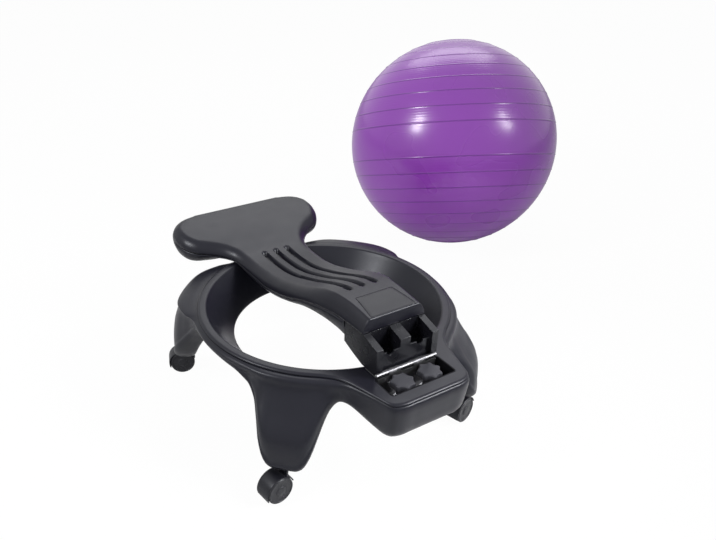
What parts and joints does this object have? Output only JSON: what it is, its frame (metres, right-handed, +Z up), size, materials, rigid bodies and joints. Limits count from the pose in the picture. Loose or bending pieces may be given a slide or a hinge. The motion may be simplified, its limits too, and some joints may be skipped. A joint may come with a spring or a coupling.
{
  "type": "balance ball chair",
  "caption": "Balance ball chair: purple exercise ball beside a black wheeled ring base whose lumbar backrest is folded flat over the ring.",
  "frame": {"origin": "middle of the whole object's footprint, on the floor", "axes": "+X to the sitter's right, from the base towards the ball; +Y the way the sitter faces; +Z up"},
  "size_m": [1.1504, 0.985, 0.5185],
  "materials": {
    "black_plastic": "fine spark texture, satin",
    "soft_black_plastic": "fine moulded texture, semi-matt",
    "wheel_plastic": "smooth nylon, satin",
    "purple_vinyl": "soft vinyl, satin, with fine moulded rings",
    "plug_plastic": "moulded, semi-matt",
    "zinc_steel": "bright zinc plate",
    "steel": "plain, bright"
  },
  "bodies": {
    "base": {"base_shell": "black_plastic", "ring_top_cover": "black_plastic", "cover_screw_1": "steel", "cover_screw_2": "steel", "cover_screw_3": "steel", "cover_screw_4": "steel", "cover_screw_5": "steel", "knob_tray": "soft_black_plastic", "knob_stud_left": "steel", "knob_stud_right": "steel", "hinge_fixed_leaf": "zinc_steel", "hinge_pin": "zinc_steel", "caster_socket_rear_left": "soft_black_plastic", "caster_socket_rear_right": "soft_black_plastic", "caster_socket_front_left": "soft_black_plastic", "caster_socket_front_right": "soft_black_plastic"},
    "backrest": {"backrest_rear_shell": "black_plastic", "backrest_front_shell": "black_plastic", "foot_panel": "soft_black_plastic", "backrest_screw_1": "steel", "backrest_screw_2": "steel", "backrest_screw_3": "steel", "backrest_screw_4": "steel", "foot_bracket": "soft_black_plastic", "foot_screw_1": "steel", "foot_screw_2": "steel", "hinge_moving_leaf": "zinc_steel"},
    "knob_washer_left": {"knob_washer_left": "steel"},
    "knob_left": {"knob_left": "soft_black_plastic"},
    "knob_washer_right": {"knob_washer_right": "steel"},
    "knob_right": {"knob_right": "soft_black_plastic"},
    "caster_rear_left": {"caster_stem_rear_left": "steel", "caster_hood_rear_left": "soft_black_plastic", "caster_axle_rear_left": "steel"},
    "wheel_rear_left_inner": {"caster_wheel_rear_left_inner": "wheel_plastic"},
    "wheel_rear_left_outer": {"caster_wheel_rear_left_outer": "wheel_plastic"},
    "caster_rear_right": {"caster_stem_rear_right": "steel", "caster_hood_rear_right": "soft_black_plastic", "caster_axle_rear_right": "steel"},
    "wheel_rear_right_inner": {"caster_wheel_rear_right_inner": "wheel_plastic"},
    "wheel_rear_right_outer": {"caster_wheel_rear_right_outer": "wheel_plastic"},
    "caster_front_left": {"caster_stem_front_left": "steel", "caster_hood_front_left": "soft_black_plastic", "caster_axle_front_left": "steel"},
    "wheel_front_left_inner": {"caster_wheel_front_left_inner": "wheel_plastic"},
    "wheel_front_left_outer": {"caster_wheel_front_left_outer": "wheel_plastic"},
    "caster_front_right": {"caster_stem_front_right": "steel", "caster_hood_front_right": "soft_black_plastic", "caster_axle_front_right": "steel"},
    "wheel_front_right_inner": {"caster_wheel_front_right_inner": "wheel_plastic"},
    "wheel_front_right_outer": {"caster_wheel_front_right_outer": "wheel_plastic"},
    "ball": {"ball_shell": "purple_vinyl"},
    "valve_plug": {"ball_plug": "plug_plastic"}
  },
  "joints": [
    {"name": "backrest_fold", "type": "hinge", "parent": "base", "child": "backrest", "pos_m": [-0.34217, -0.42106, 0.21], "axis": [1, 0, 0], "range_deg": [0, 94]},
    {"name": "knob_lift_left", "type": "slide", "parent": "base", "child": "knob_washer_left", "axis": [0, 0, 1], "range_m": [0, 0.003]},
    {"name": "knob_turn_left", "type": "hinge", "parent": "knob_washer_left", "child": "knob_left", "pos_m": [-0.36767, -0.44456, 0.2], "axis": [0, 0, 1], "range_deg": [0, 720.1]},
    {"name": "knob_lift_right", "type": "slide", "parent": "base", "child": "knob_washer_right", "axis": [0, 0, 1], "range_m": [0, 0.003]},
    {"name": "knob_turn_right", "type": "hinge", "parent": "knob_washer_right", "child": "knob_right", "pos_m": [-0.31667, -0.44456, 0.2], "axis": [0, 0, 1], "range_deg": [0, 720.1]},
    {"name": "swivel_rear_left", "type": "hinge", "parent": "base", "child": "caster_rear_left", "pos_m": [-0.53017, -0.37306, 0.05], "axis": [0, 0, 1], "continuous": true},
    {"name": "roll_rear_left_inner", "type": "hinge", "parent": "caster_rear_left", "child": "wheel_rear_left_inner", "pos_m": [-0.54701, -0.37543, 0.0235], "axis": [-0.1392, 0.9903, 0], "continuous": true},
    {"name": "roll_rear_left_outer", "type": "hinge", "parent": "caster_rear_left", "child": "wheel_rear_left_outer", "pos_m": [-0.54701, -0.37543, 0.0235], "axis": [-0.1392, 0.9903, 0], "continuous": true},
    {"name": "swivel_rear_right", "type": "hinge", "parent": "base", "child": "caster_rear_right", "pos_m": [-0.15417, -0.37306, 0.05], "axis": [0, 0, 1], "continuous": true},
    {"name": "roll_rear_right_inner", "type": "hinge", "parent": "caster_rear_right", "child": "wheel_rear_right_inner", "pos_m": [-0.17059, -0.37746, 0.0235], "axis": [-0.2588, 0.9659, 0], "continuous": true},
    {"name": "roll_rear_right_outer", "type": "hinge", "parent": "caster_rear_right", "child": "wheel_rear_right_outer", "pos_m": [-0.17059, -0.37746, 0.0235], "axis": [-0.2588, 0.9659, 0], "continuous": true},
    {"name": "swivel_front_left", "type": "hinge", "parent": "base", "child": "caster_front_left", "pos_m": [-0.52767, 0.00994, 0.05], "axis": [0, 0, 1], "continuous": true},
    {"name": "roll_front_left_inner", "type": "hinge", "parent": "caster_front_left", "child": "wheel_front_left_inner", "pos_m": [-0.54365, 0.01575, 0.0235], "axis": [0.342, 0.9397, 0], "continuous": true},
    {"name": "roll_front_left_outer", "type": "hinge", "parent": "caster_front_left", "child": "wheel_front_left_outer", "pos_m": [-0.54365, 0.01575, 0.0235], "axis": [0.342, 0.9397, 0], "continuous": true},
    {"name": "swivel_front_right", "type": "hinge", "parent": "base", "child": "caster_front_right", "pos_m": [-0.15667, 0.00994, 0.05], "axis": [0, 0, 1], "continuous": true},
    {"name": "roll_front_right_inner", "type": "hinge", "parent": "caster_front_right", "child": "wheel_front_right_inner", "pos_m": [-0.14195, 0.01844, 0.0235], "axis": [0.5, -0.866, 0], "continuous": true},
    {"name": "roll_front_right_outer", "type": "hinge", "parent": "caster_front_right", "child": "wheel_front_right_outer", "pos_m": [-0.14195, 0.01844, 0.0235], "axis": [0.5, -0.866, 0], "continuous": true},
    {"name": "ball_place", "type": "hinge", "parent": "base", "child": "ball", "pos_m": [-0.01332, 0.02389, 0.3116], "axis": [0.4928, -0.6205, 0.61], "range_deg": [0, 180]},
    {"name": "plug_pull", "type": "slide", "parent": "ball", "child": "valve_plug", "axis": [0.1571, 0.3293, 0.9311], "range_m": [0, 0.02]}
  ],
  "couplings": [
    {"joint": "ball_place", "follows": "backrest_fold", "ratio": 1.9149},
    {"joint": "knob_turn_left", "follows": "knob_lift_left", "rad_per_m": 4188.8},
    {"joint": "knob_turn_right", "follows": "knob_lift_right", "rad_per_m": 4188.8}
  ]
}
